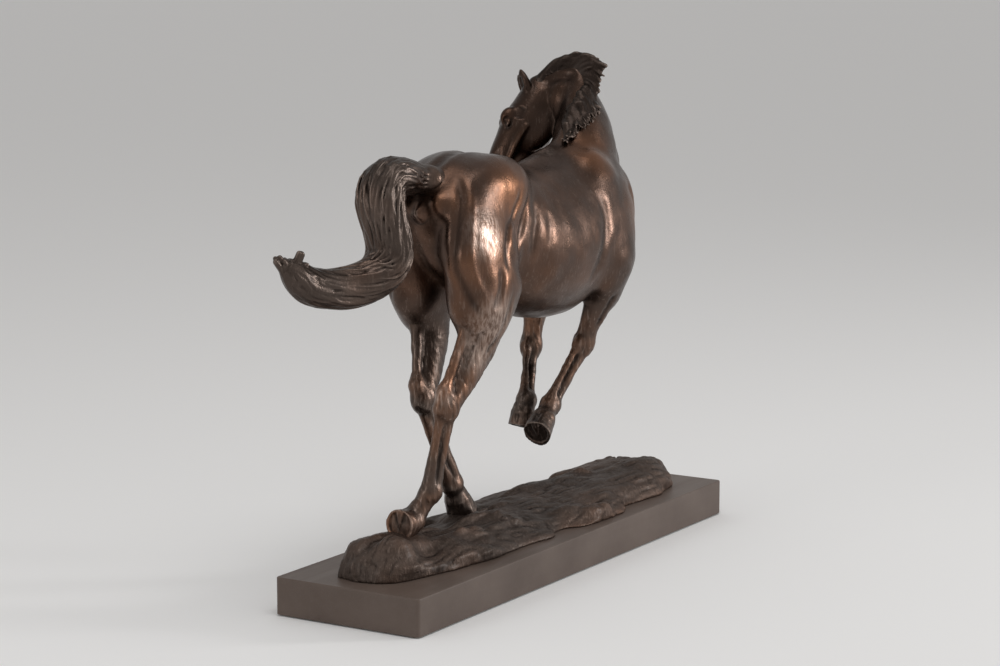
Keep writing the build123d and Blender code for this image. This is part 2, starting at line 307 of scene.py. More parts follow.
def trunk(clay):
    """The barrel, as an oval at every x between the top line and the under line."""
    rows = curve(TRUNK, 8)
    low = vec(rows[:, 0].min(), -rows[:, 3].max(), rows[:, 2].min())
    high = vec(rows[:, 0].max(), rows[:, 3].max(), rows[:, 1].max())

    def distance(x, y, z):
        top, under, wide = (np.interp(x, rows[:, 0], rows[:, i]).astype(np.float32) for i in (1, 2, 3))
        middle, half = (top + under) / 2, np.maximum((top - under) / 2, 1)
        past = np.maximum(np.abs(x - (low[0] + high[0]) / 2) - (high[0] - low[0]) / 2, 0)
        up = (z - middle) / half
        wide = wide * (1 - 0.10 * np.clip(up, 0, 1))
        near = np.sqrt((y / wide) ** 2 + up ** 2)
        far = np.sqrt((y / wide ** 2) ** 2 + (up / half) ** 2)
        return off_oval(near, far) + past

    clay.add(low, high, distance, 4)


def croup(clay):
    """The two rumps with the furrow between them, the points of the hips and the dock."""
    for side in (RIGHT, LEFT):
        clay.mass((-66, 18 * side, 270), (42, 19, 24), (1, 0, 0.08), blend=9)
        clay.mass((-50, 23 * side, 267), (17, 10, 17), (0.6, 0, 0.8), blend=10)
        clay.mass((-100, 12 * side, 262), (14, 11, 22), (0.25, 0, 1), blend=7)
    clay.crease([(-112, 0, 285), (-95, 0, 294), (-72, 0, 298), (-45, 0, 295), (-20, 0, 287)], 3.2, 4.5)
    clay.mass((-107, 1, 279), (13, 8, 8), (1, 0, -0.3), blend=6)


def withers_and_breast(clay):
    """The withers, the shoulder blades, and the breast's two muscles with the furrow between them."""
    clay.mass((40, 0, 276), (30, 9, 10), (1, 0, 0.14), blend=9)
    for side in (RIGHT, LEFT):
        clay.mass((78, 22 * side, 246), (40, 16, 26), (0.35, 0.05 * side, -0.9), blend=12)
        clay.mass((80, 28 * side, 214), (26, 13, 25), (0.3, 0, -0.9), blend=12)
        clay.mass((102, 17 * side, 250), (22, 13, 20), (0.1, 0, 1), blend=12)
        clay.mass((108, 12 * side, 228), (31, 17, 20), (0.1, 0, 1), blend=14)
    clay.crease([(131, 0, 252), (132, 0, 234), (124, 0, 208)], 2.0, 6)


def flank_folds(clay):
    """The lines drawn into the hide: the thigh's muscles, the flank, the ribs and the shoulder."""
    for side in (RIGHT, LEFT):
        def along(points, depth, width):
            clay.crease([(x, y * side, z) for x, y, z in points], depth, width)

        rear_groove = [
            (-99, 17, 284), (-104, 21, 277), (-108, 25, 268), (-112, 26, 256), (-116, 27, 242),
            (-116, 27, 228), (-113, 30, 215), (-107, 32, 203), (-100, 33, 192),
        ]
        thigh = [
            (-52, 34, 277), (-56, 36, 264), (-64, 37, 254), (-73, 40, 248), (-80, 43, 238), (-82, 44, 228),
            (-80, 45, 216),
        ]
        flank = [
            (-36, 32, 272), (-42, 33, 258), (-46, 33, 246), (-52, 38, 234), (-56, 40, 220), (-54, 38, 204),
        ]
        shoulder = [
            (50, 36, 262), (56, 38, 250), (57, 41, 238), (54, 41, 226), (50, 40, 213), (44, 39, 202),
            (42, 34, 190),
        ]
        along(rear_groove, 2.6, 2.6)
        along([(x + 5, y + 4, z) for x, y, z in rear_groove], -0.9, 3.0)
        along(thigh, 1.5, 2.4)
        along([(-60, 40, 262), (-70, 41, 246), (-75, 44, 232)], -0.9, 3.0)
        along(flank, 2.8, 3.2)
        along([(-26, 34, 262), (-30, 35, 248), (-34, 36, 234), (-36, 36, 218)], 1.0, 3.2)
        along([(-14, 38, 256), (-17, 40, 242), (-20, 40, 226)], 0.7, 3.4)
        along(shoulder, 1.5, 4.5)
        along([(104, 26, 262), (110, 27, 246), (108, 26, 228)], 0.8, 4.5)


def joint_frame(a, b, side):
    """For a bone from a to b: its direction, the way its front faces, and its outer side."""
    along = unit(b - a)
    left = square_to(Y_AXIS, along)
    return along, np.cross(along, left), left * side


def places_from(start, frame):
    """Gives places by how far they are down the bone, ahead of it and outside it, from a start."""
    along, front, out = frame

    def at(down, ahead=0, aside=0):
        return start + along * down + front * ahead + out * aside
    return at


def hind_leg(clay, joints, side):
    """Haunch, stifle, gaskin, hock, cannon with its tendons, fetlock, pastern and hoof."""
    hip, stifle, hock, fetlock, coronet, sole = (vec(*j) for j in joints)
    frame = joint_frame(hip, stifle, side)
    along, front, out = frame
    middle, joint = places_from((hip + stifle) / 2, frame), places_from(stifle, frame)
    clay.mass(middle(0, -5, 1), (48, 18, 37), along, out, blend=7)
    clay.mass(middle(28, -8, -3), (32, 19, 30), along, out, blend=7)
    clay.mass(middle(6, 10, 1), (34, 12, 14), along, out, blend=8)
    seat = places_from(hip - front * 20 - out * 3, frame)
    clay.chain([
        (*seat(2), 9, 10),
        (*seat(24, -4), 11, 12),
        (*seat(50, 3, 1), 12, 14),
        (*joint(4, -22, -5), 11, 12),
        (*joint(22, -17, -4), 7, 8),
    ], side=out, blend=6)
    clay.mass(joint(-1, 8, 1), (12, 9, 9), along, out, blend=8)
    gaskin(clay, stifle, hock, side)
    shin(clay, hock, fetlock, side, 5.6, 6.0)
    foot(clay, hock, fetlock, coronet, sole, side, HIND_HOOF)


def gaskin(clay, stifle, hock, side):
    """The second thigh with its muscles, the tendon behind it and the point of the hock."""
    frame = joint_frame(stifle, hock, side)
    along, _, out = frame
    length = np.linalg.norm(hock - stifle)
    thigh, joint = places_from(stifle, frame), places_from(hock, frame)
    clay.chain([
        (*thigh(-8, -4), 15, 27),
        (*thigh(0.17 * length, -1), 13.5, 21),
        (*thigh(0.42 * length, 6.5), 11.5, 16.5),
        (*thigh(0.74 * length, 6), 8.8, 11.5),
        (*joint(0, 1), 7.8, 8.8),
    ], side=out, blend=5)
    clay.chain([
        (*thigh(0.1 * length, 4, 7), 3.4, 6),
        (*thigh(0.35 * length, 3, 8), 4.2, 7),
        (*thigh(0.62 * length, 2, 5), 3.0, 5),
    ], side=out, blend=3)
    point = places_from(joint(-7, -8.5), frame)
    clay.chain([
        (*thigh(0.42 * length, -11), 4, 6),
        (*thigh(0.68 * length, -9.5), 3, 4),
        (*point(-2), 3.4, 3.6),
        (*point(2), 4.6, 4.6),
    ], side=out, blend=3)
    clay.chain([(*point(0), 4.4, 4.4), (*joint(5, -4), 5.5, 6)], side=out, blend=4)
    clay.crease([thigh(0.3 * length, -9, 10), thigh(0.6 * length, -7, 8), joint(-2, -4, 6.5)], 2.0, 2.6)
    clay.crease([thigh(-6, -2, 14), thigh(0.25 * length, 6, 12), thigh(0.55 * length, 5, 8)], 1.4, 2.4)
    clay.crease([thigh(-14, -20, 14), thigh(0, -14, 13), thigh(0.2 * length, -11, 12)], 1.8, 2.8)
    clay.mass(joint(3, 1), (11, 7.4, 8), along, out, blend=4)


def fore_leg(clay, joints, side):
    """Upper arm, forearm, knee, cannon with its tendons, fetlock, pastern and hoof."""
    shoulder, elbow, knee, fetlock, coronet, sole = (vec(*j) for j in joints)
    along, front, out = joint_frame(shoulder, elbow, side)
    clay.mass((shoulder + elbow) / 2 + out, (36, 13, 21), along, out, blend=10)
    clay.mass(elbow - front * 7 - along * 2, (11, 8, 9), along, out, blend=8)
    frame = joint_frame(elbow, knee, side)
    along, _, out = frame
    length = np.linalg.norm(knee - elbow)
    forearm, joint = places_from(elbow, frame), places_from(knee, frame)
    clay.chain([
        (*forearm(-16, 3), 12, 18),
        (*forearm(0.16 * length, 4), 11.5, 16.5),
        (*forearm(0.4 * length, 1.5), 9.4, 11.5),
        (*forearm(0.7 * length, 0.5), 7, 8),
        (*joint(-4), 7, 7.4),
    ], side=out, blend=6)
    furrow = [forearm(0.1 * length, 0, 11), forearm(0.4 * length, -1, 9), forearm(0.75 * length, -2, 7)]
    clay.crease(furrow, 1.2, 2.2)
    clay.mass(joint(0, 1.2), (9.5, 8.2, 8.2), along, out, blend=3.5)
    clay.mass(joint(1, -6.5), (6, 4, 4), along, out, blend=3)
    shin(clay, knee, fetlock, side, 4.6, 4.8)
    foot(clay, knee, fetlock, coronet, sole, side, FORE_HOOF)


def shin(clay, top, fetlock, side, bone, depth):
    """A cannon bone with the flexor tendons standing behind it and a furrow between them."""
    frame = joint_frame(top, fetlock, side)
    out = frame[2]
    length = np.linalg.norm(fetlock - top)
    cannon, joint = places_from(top, frame), places_from(fetlock, frame)
    clay.chain([
        (*cannon(3, 1), bone * 1.35, depth * 1.35),
        (*cannon(0.25 * length, 1.5), bone * 1.05, depth),
        (*cannon(0.6 * length, 1.5), bone * 0.95, depth * 0.92),
        (*joint(0, 1), bone * 1.15, depth * 1.1),
    ], side=out, blend=2.5)
    clay.chain([
        (*cannon(5, -5.5), bone * 0.7, bone * 0.62),
        (*cannon(0.5 * length, -5.2), bone * 0.55, bone * 0.5),
        (*joint(0, -4.5), bone * 0.9, bone * 0.8),
    ], side=out, blend=1.6)
    for edge in (bone, -bone):
        furrow = [cannon(8, -3, edge), cannon(0.5 * length, -3, edge * 0.8), joint(-4, -2.5, edge)]
        clay.crease(furrow, 0.9, 1.5)


def foot(clay, top, fetlock, coronet, sole, side, radius):
    """Fetlock with its ergot, pastern, coronet band, hoof wall, cupped sole and frog."""
    along, front, out = joint_frame(top, fetlock, side)
    clay.mass(fetlock, (7, 6.8, 7.4), along, out, blend=3)
    clay.mass(fetlock - front * 5 + along * 1.5, (4.5, 4.6, 4), along, out, blend=2.5)
    pastern, front, out = joint_frame(fetlock, coronet, side)
    clay.chain([
        (*fetlock, 6.2, 6.4),
        (*((fetlock + coronet) / 2), 6.4, 7),
        (*(coronet - pastern * 1), radius * 0.86, radius * 0.88),
    ], side=out, blend=3)
    down, front, out = joint_frame(coronet, sole, side)
    height = np.linalg.norm(sole - coronet)
    clay.chain([
        (*(coronet - down * 1.5), radius * 0.92, radius * 0.92),
        (*(coronet + down * 0.5), radius, radius),
    ], side=out, blend=1.2)
    hoof_cone(clay, coronet, down, front, out, height, radius)


def hoof_cone(clay, coronet, down, front, out, height, top_radius):
    """The horny wall, flared to the toe, with a cupped sole, a frog and the cleft of the heels."""
    reach = height + 12

    def parts(x, y, z):
        dx, dy, dz = x - coronet[0], y - coronet[1], z - coronet[2]
        return tuple(dx * a[0] + dy * a[1] + dz * a[2] for a in (down, front, out))

    def wall(x, y, z):
        deep, ahead, aside = parts(x, y, z)
        share = np.clip(deep / height, 0, 1)
        radius = top_radius * (1 + 0.22 * share)
        ahead = ahead - 1.6 * share
        long_way = np.where(ahead > 0, 1.08, 0.94)
        round_part = np.sqrt((ahead / long_way) ** 2 + aside ** 2) - radius
        return np.maximum(round_part, np.maximum(-deep, deep - height))

    def cup(x, y, z):
        deep, ahead, aside = parts(x, y, z)
        bowl = np.sqrt((ahead - 1.6) ** 2 + aside ** 2) - top_radius * 0.96
        frog = 3.2 - 0.28 * (ahead + 6) - np.abs(aside)
        return np.maximum(np.maximum(bowl, height - 0.7 - deep), frog)

    clay.add(coronet - reach, coronet + reach, wall, 0.8)
    clay.add(coronet - reach, coronet + reach, cup, 0.7, sign=-1)
    for turn in (-1, 1):
        clay.crease([coronet + down * d - front * 9 + out * turn * 1.2 for d in (1, height)], 0.8, 1.2)


def neck(clay):
    """The arched neck, with the crest's roll of muscle and the furrow of the throat on each side."""
    clay.chain(NECK, blend=8, per_span=14)
    for sign in (RIGHT, LEFT):
        clay.crease([beside_neck(t, sign * 0.92, -0.35) for t in (1.2, 2.2, 3.2, 4.2)], 1.4, 4.5)
    clay.crease([beside_neck(t, 0.95, 0.45) for t in (3.0, 3.7, 4.4, 5.1)], 2.0, 4.5)
    for place, radius in ((vec(99, 22, 324), 6.5), (vec(98, 22, 316), 6.5), (vec(98.5, 23, 309), 5)):
        clay.mass(place, (radius, radius, radius), blend=7)
    radii = np.interp(range(len(CREST)), (0, 3, 9, 12), (2.0, 3.2, 3.8, 4.0))
    clay.chain([(*place, r, r) for place, r in zip(CREST, radii)], blend=5, per_span=8)


def beside_neck(t, left_share, crest_share):
    """A place at station number t of the neck, out from its middle in half widths and half depths."""
    rows = np.asarray(NECK, float)
    places = np.arange(len(rows))
    row = row_between(rows, places, t)
    along = unit((row_between(rows, places, t + 0.2) - row_between(rows, places, t - 0.2))[:3])
    left = square_to(row[5:8], along)
    return row[:3] + left * row[3] * left_share + np.cross(along, left) * row[4] * crest_share


# Furrows of the face, as (depth, width, places), each place as (down the face, towards the brow, aside).
EYELIDS = [
    (0.8, 1.2, [(22, 11, 13), (26, 14.4, 12.6), (31, 11.4, 12), (33, 9.5, 11)]),
    (0.7, 1.1, [(22, 10, 13), (27, 8.2, 13.4), (32, 9.4, 12)]),
]
CHEEK_AND_NOSE = [
    (1.3, 2.8, [(40, -6, 9), (54, -5.5, 7.5), (70, -5, 6.5)]),
    (1.6, 3.0, [(10, 6, 12), (17, 6, 13), (22, 5, 13.6)]),
    (0.9, 2.6, [(44, 8, 8), (60, 6.5, 7), (76, 5, 6.5)]),
]
NOSTRIL_AND_MOUTH = [
    (2.0, 1.5, [(87, 5.6, 8), (91.5, 6, 8.5), (95.5, 3.2, 8)]),
    (1.1, 0.9, [(98, -3.5, 3), (94, -4, 6.4), (86, -4, 7.4)]),
]


def at_head(down, brow, side):
    """A place on the head: millimetres down the face from the poll, towards the brow, to the left."""
    return POLL + HEAD_DOWN * down + HEAD_BROW * brow + HEAD_SIDE * side


def face_lines(clay, lines, side):
    for depth, width, places in lines:
        clay.crease([at_head(h, b, w * side) for h, b, w in places], depth, width)


def skull(clay):
    """Cranium, face, cheeks, jaw, muzzle and the details on both sides of the face."""
    profile = [
        (-3, 0, 10, 10), (10, 1, 13, 13.5), (22, 2, 13.5, 14), (34, 3, 12, 12), (46, 3.5, 9.8, 10.5),
        (62, 2.5, 8, 9.2), (80, 1, 7.4, 8.2), (92, 0, 7.3, 7.5), (99, -1, 5.5, 5.5),
    ]
    clay.chain([(*at_head(h, b, 0), w, d) for h, b, w, d in profile], side=HEAD_SIDE, blend=5, per_span=8)
    jaw = [(14, -11.5, 6.5, 8.5), (24, -12, 7, 8.5), (38, -9, 6, 8), (52, -6.5, 5, 6), (68, -5, 4.8, 4.6),
           (84, -5, 5, 4)]
    clay.chain([(*at_head(h, b, 0), w, d) for h, b, w, d in jaw], side=HEAD_SIDE, blend=4)
    clay.mass(at_head(94, -6.5, 0), (5.5, 5, 3.6), HEAD_DOWN, HEAD_SIDE, blend=2.5)
    for s in (1, -1):
        clay.mass(at_head(21, -9, 6.5 * s), (16.5, 6.2, 13), HEAD_DOWN, HEAD_SIDE, blend=4)
        clay.mass(at_head(22, 13.6, 9 * s), (6.5, 4.2, 4.4), HEAD_DOWN, HEAD_SIDE, blend=4)
        clay.mass(at_head(27, 10.4, 11.0 * s), (3.0, 2.2, 2.3), HEAD_DOWN, HEAD_SIDE, blend=1)
        face_lines(clay, EYELIDS, s)
        cheek = [(24, -2, 12), (34, -1, 11.6), (45, -1.5, 9.4), (58, -2, 7.4)]
        clay.chain([(*at_head(h, b, w * s), 2.0, 2.0) for h, b, w in cheek], blend=2.5)
        face_lines(clay, CHEEK_AND_NOSE, s)
        clay.mass(at_head(91, 4, 5.4 * s), (6, 3.4, 4.4), HEAD_DOWN, HEAD_SIDE, blend=2)
        face_lines(clay, NOSTRIL_AND_MOUTH, s)
    ears(clay)


def ears(clay):
    """Two pricked ears, each a leaf with a hollow that faces forward."""
    for s in (1, -1):
        root = at_head(-1, 8, 7 * s)
        rise = unit(HEAD_BROW * 0.70 - HEAD_DOWN * 0.69 + HEAD_SIDE * 0.12 * s)
        face = square_to(HEAD_BROW * 0.8 + HEAD_DOWN * 0.9 + HEAD_SIDE * 0.5 * s, rise)
        across = np.cross(rise, face)
        leaf = [(0, 3.2, 3.0), (4, 4.1, 3.4), (9, 4.4, 3.1), (13, 3.2, 2.5), (16, 1.6, 1.4)]
        clay.chain([(*(root + rise * t), w, d) for t, w, d in leaf], side=across, blend=1.8)
        clay.crease([root + rise * t + face * d for t, d in ((3, 3.6), (8, 3.4), (13, 2.4))], 2.4, 1.7)


# The tail, as (x, y, z, half width, half depth), over its arch and out to the flicked end.
TAIL = [
    (-101, 0, 278, 6.5, 7),
    (-112, 2, 281, 7.5, 8.5),
    (-125, 3, 283, 10, 11),
    (-137, 4.5, 285.5, 14, 12),
    (-149.5, 8, 284, 16.5, 13.5),
    (-154, 8, 270, 17.5, 14),
    (-154, 4, 252, 16.5, 12.5),
    (-152, 2, 238, 17, 13),
    (-158, 4, 226, 16, 14),
    (-170, 9, 219.5, 13, 14.5),
    (-185, 14, 217, 10.5, 14),
    (-200, 19, 218, 9.5, 12.5),
    (-213, 23.5, 221.5, 9, 12),
    (-224, 26, 229, 7.5, 10),
    (-231, 27.5, 235, 5, 6.5),
]
TAIL_PATH = curve(TAIL, 6)


def along_tail(share, aside, behind):
    """A place in the tail at a share of its length, out from its middle in half widths and depths."""
    places = np.arange(len(TAIL_PATH))
    at = share * places[-1]
    row = row_between(TAIL_PATH, places, at)
    along = unit((row_between(TAIL_PATH, places, at + 1) - row_between(TAIL_PATH, places, at - 1))[:3])
    across = square_to(Y_AXIS, along)
    deep = np.cross(along, across)
    return row[:3] + across * row[3] * aside + deep * row[4] * behind


def tail(clay, draw):
    """The dock and a core of hair, with locks that twist round it and fork at the flicked end."""
    clay.chain([(x, y, z, w * 0.86, d * 0.86) for x, y, z, w, d in TAIL], blend=3)
    # Each set of locks: how many, start and end radius, how far out, and the share of the tail they run.
    locks = [
        (30, (2.6, 4.0), (1.2, 2.0), (0.70, 0.80), (0.2, 0.45)),
        (190, (1.2, 2.0), (0.6, 1.0), (0.84, 0.92), (0.16, 0.4)),
        (420, (0.7, 1.1), (0.5, 0.7), (0.91, 0.98), (0.1, 0.28)),
    ]
    for count, thick, thin, reach, run in locks:
        for _ in range(count):
            turn = draw.uniform(0, 2 * np.pi)
            start = draw.uniform(0.0, 0.92)
            end = min(start + draw.uniform(*run), 1.0)
            twist = draw.uniform(-0.5, 0.6)
            wave = draw.uniform(0.04, 0.2)
            far = draw.uniform(*reach)
            points = []
            for t in np.linspace(0, 1, 6):
                angle = turn + twist * t + wave * np.sin(6 * t + turn)
                out = far * (0.90 + 0.10 * np.sin(np.pi * t))
                points.append(along_tail(start + (end - start) * t, np.cos(angle) * out, np.sin(angle) * out))
            clay.rope(points, draw.uniform(*thick), draw.uniform(*thin))
    tips = [((-224, 22, 242), 3.4), ((-238, 30, 240), 3.6), ((-233, 27, 238), 3.4), ((-218, 22, 234), 3.0)]
    for tip, radius in tips:
        for _ in range(8):
            lean = draw.uniform(-2.0, 2.0, 3)
            base = along_tail(draw.uniform(0.7, 0.82), draw.uniform(-0.4, 0.4), draw.uniform(-0.4, 0.4))
            middle = along_tail(0.92, 0.1, 0.2) + lean
            clay.rope([base, middle, tip + lean], radius, radius * 0.42)
    clay.chain([(-100, -3, 279, 7, 8), (-110, -2, 281, 9, 9)], blend=4)


def mane(clay, skin, draw):
    """Hair rooted along the crest, thrown over to the right, that the wind lifts near the poll."""
    crest = curve(CREST[5:], 8)
    places = np.linspace(0, 1, len(crest))

    def on_crest(t):
        return row_between(crest, places, t)

    def laid(point, height, lift):
        """A point laid on the skin at a height, or held where it is by lift, from 0 to 1."""
        down = skin.settled([point])[0]
        away = unit(point + vec(0, -1, 2) - down)
        return (down + away * height) * (1 - lift) + point * lift

    over, up = vec(0.30, -0.92, 0.0), vec(-0.1, 0.0, 1.0)
    # Down each strand: its share of the throw, of the lift and of the run, and how far off the skin it is.
    steps = [(0.0, 0.0, 0.0, 0.5), (0.35, 0.6, 0.3, 1.2), (0.7, 0.95, 0.7, 1.0), (1.0, 0.85, 1.0, -2.2)]
    for size, count in ((1.0, 90), (0.5, 170)):
        for i in range(count):
            t = np.clip((i + draw.uniform(-0.5, 0.5)) / count, 0, 0.99)
            along = unit(on_crest(min(t + 0.04, 1)) - on_crest(max(t - 0.04, 0)))
            stand = np.interp(t, (0, 0.38, 0.5, 0.9, 1), (0, 0, 0.9, 1, 0.3))
            lift = np.interp(t, (0, 0.4, 0.55, 0.75, 0.9, 1), (0, 1, 8, 12, 9, 3)) * draw.uniform(0.75, 1.2)
            throw = np.interp(t, (0, 0.2, 0.45, 0.65, 0.85, 1), (5, 7, 14, 17, 10, 5))
            throw = throw * draw.uniform(0.7, 1.05)
            run = np.interp(t, (0, 0.3, 0.5, 1), (-20, -16, -5, -8)) + draw.uniform(-3, 5)
            curl = draw.uniform(-2.5, 2.5)
            root = on_crest(t) + over * draw.uniform(0, 2)
            wild = 1 + 0.6 * (size < 1)
            points = []
            for go, rise, slide, height in steps:
                point = root + over * throw * go + up * lift * rise
                point = point + along * (run * slide + curl * go * (1 - go) * 3)
                points.append(laid(point, height * wild, stand))
            end = draw.uniform(1.3, 2.0) * (0.4 + 0.6 * stand)
            clay.rope(points, draw.uniform(2.4, 3.4) * size, end * size)


# The ground's edge, as (x, how far it reaches to the right, to the left).
GROUND_REACH = [
    (-192, 8, 12), (-187, 19, 21), (-172, 28, 29), (-150, 32, 33), (-117, 37, 37), (-73, 40, 41),
    (-21, 41, 39), (47, 41, 38), (110, 40, 39), (150, 36, 34), (173, 30, 26), (186, 19, 14), (191, 8, 6),
]
# The ground's height over the stone, as (x, height).
GROUND_RISE = [
    (-192, 13), (-180, 23), (-165, 24), (-150, 22), (-100, 18.5), (-50, 18), (0, 17.5), (50, 17.5),
    (100, 18), (150, 18), (174, 17.5), (185, 15), (191, 10),
]
STONE_TOP = 26.0
# Where earth is pressed up round a hoof, as (x, y, height of its top).
HOOFPRINTS = [(-57, 8.5, 46), (-145, -3, 50)]
NOISE_CELLS = 48  # cells a side before the noise repeats


def value_noise(x, y, z, cell, draw):
    """Smooth noise between -1 and 1 that varies over the given cell size along each axis."""
    table = draw.uniform(-1, 1, (NOISE_CELLS,) * 3).astype(np.float32)
    x, y, z = np.broadcast_arrays(x / cell[0], y / cell[1], z / cell[2])
    floors, eases = [], []
    for part in (x, y, z):
        whole = np.floor(part)
        share = (part - whole).astype(np.float32)
        floors.append(whole.astype(np.int32) % NOISE_CELLS)
        eases.append(share * share * (3 - 2 * share))
    total = 0
    for corner in range(8):
        pick, weight = [], 1
        for axis in range(3):
            bit = corner >> axis & 1
            pick.append((floors[axis] + bit) % NOISE_CELLS)
            weight = weight * (eases[axis] if bit else 1 - eases[axis])
        total = total + table[tuple(pick)] * weight
    return total


def ground(clay, draw):
    """A low mound of modelled earth: a wandering edge, long ridges laid on with a tool, and clods."""
    reach, rise = curve(GROUND_REACH, 6), curve(GROUND_RISE, 6)
    cut, (x, y, z) = clay.window(clay.low, clay.low + clay.step * clay.size)
    right, left = (np.interp(x, reach[:, 0], reach[:, i]).astype(np.float32) for i in (1, 2))
    height = np.interp(x, rise[:, 0], rise[:, 1]).astype(np.float32)
    middle, half = (left - right) / 2, (left + right) / 2
    past = np.maximum(np.abs(x) - 190, 0)
    across = np.abs(y - middle) / half
    up = np.maximum(z - STONE_TOP + 3, 0) / (height + 3)
    level = (across ** 2.8 + up ** 2.2 + (past / 3) ** 2) ** (1 / 2.4)
    field = (level - 1) * np.minimum(half, height * 0.9)
    slab = clay.field[cut].shape
    for cell, size in (((46, 20, 18), 3.0), ((24, 9, 12), 2.1)):
        noise = value_noise(*np.broadcast_arrays(x, y + 0.15 * x, z), cell, draw)
        field = field + size * noise.reshape(slab)
    for cell, size in (((17, 4.4, 7), 0.9), ((8, 3, 4), 0.3), ((2.6, 2.2, 2.6), 0.08)):
        noise = value_noise(*np.broadcast_arrays(x, y + 0.1 * x, z), cell, draw)
        field = field + size * (0.3 - np.abs(noise)).reshape(slab) * 1.2
    clay.field[cut] = np.maximum(field, STONE_TOP - z)
    for x, y, top in HOOFPRINTS:
        clay.mass((x, y, top - 8), (17, 13, 8), blend=5)


def blurred(field, cells):
    """The field averaged over a cube of 2 * cells + 1 grid points a side."""
    out = field
    for axis in range(3):
        padded = np.pad(out, [(cells + 1, cells) if i == axis else (0, 0) for i in range(3)], mode="edge")
        sums = np.cumsum(padded, axis=axis, dtype=np.float64)
        width = 2 * cells + 1
        top = np.take(sums, range(width, sums.shape[axis]), axis=axis)
        bottom = np.take(sums, range(0, sums.shape[axis] - width), axis=axis)
        out = ((top - bottom) / width).astype(np.float32)
    return out


def sampled(field, places):
    """The field at places given in grid units, between its points."""
    whole = np.clip(np.floor(places).astype(int), 0, np.array(field.shape) - 2)
    share = places - whole
    total = 0
    for corner in range(8):
        bits = np.array([corner >> axis & 1 for axis in range(3)])
        at = whole + bits
        weight = np.prod(np.where(bits, share, 1 - share), axis=1)
        total = total + field[at[:, 0], at[:, 1], at[:, 2]] * weight
    return total


def meshed(name, clay):
    """A closed mesh of the clay's surface in metres, that knows how proud each point stands."""
    field = clay.field.copy()
    for axis in range(3):
        for end in (0, -1):
            rim = [slice(None)] * 3
            rim[axis] = end
            field[tuple(rim)] = np.maximum(field[tuple(rim)], clay.step)
    grid = openvdb.FloatGrid(FAR)
    grid.copyFromArray(field)
    points, triangles, quads = grid.convertToPolygons(isovalue=0.0, adaptivity=0.0)
    places = points.astype(np.float64)
    mesh = bpy.data.meshes.new(name)
    corners = np.concatenate([quads[:, ::-1].ravel(), triangles[:, ::-1].ravel()]).astype(np.int32)
    sizes = np.concatenate([np.full(len(quads), 4), np.full(len(triangles), 3)])
    mesh.vertices.add(len(places))
    mesh.vertices.foreach_set("co", ((places * clay.step + clay.low) * MM).astype(np.float32).ravel())
    mesh.loops.add(len(corners))
    mesh.loops.foreach_set("vertex_index", corners)
    mesh.polygons.add(len(sizes))
    mesh.polygons.foreach_set("loop_start", (np.cumsum(sizes) - sizes).astype(np.int32))
    mesh.polygons.foreach_set("use_smooth", np.ones(len(sizes), bool))
    mesh.update(calc_edges=True)
    for label, reach in (("ridge", 1.3), ("bulge", 5.0)):
        cells = max(1, int(round(reach / clay.step)))
        near = np.clip(clay.field, -1.6 * reach, 1.6 * reach)
        proud = sampled(blurred(near, cells), places) / reach
        mesh.attributes.new(label, "FLOAT", "POINT").data.foreach_set("value", proud.astype(np.float32))
    return mesh


def cut_mesh(mesh, cuts):
    """Cuts the mesh at each (place, normal, lowest x, highest x), keeps what is behind, caps the holes."""
    work = bmesh.new()
    work.from_mesh(mesh)
    for place, normal, low_x, high_x in cuts:
        verts = [v for v in work.verts if low_x * MM < v.co.x < high_x * MM]
        chosen = set(verts)
        edges = [e for e in work.edges if e.verts[0] in chosen and e.verts[1] in chosen]
        faces = [f for f in work.faces if all(v in chosen for v in f.verts)]
        bmesh.ops.bisect_plane(
            work, geom=verts + edges + faces, plane_co=Vector(place * MM), plane_no=Vector(normal),
            clear_outer=True,
        )
    open_edges = [e for e in work.edges if e.is_boundary]
    caps = bmesh.ops.holes_fill(work, edges=open_edges, sides=0)["faces"]
    for edge in open_edges:
        edge.smooth = False
    for cap in caps:
        cap.smooth = False
    bmesh.ops.recalc_face_normals(work, faces=work.faces)
    work.to_mesh(mesh)
    work.free()


def piece(name, clay, material, node, cuts=()):
    """A casting of the statuette: the clay's surface, cut at its seams, that stands for a CAD node."""
    mesh = meshed(name, clay)
    if cuts:
        cut_mesh(mesh, cuts)
    mesh.materials.append(material)
    thing = bpy.data.objects.new(name, mesh)
    bpy.context.scene.collection.objects.link(thing)
    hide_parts(node)
    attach(thing, "root")


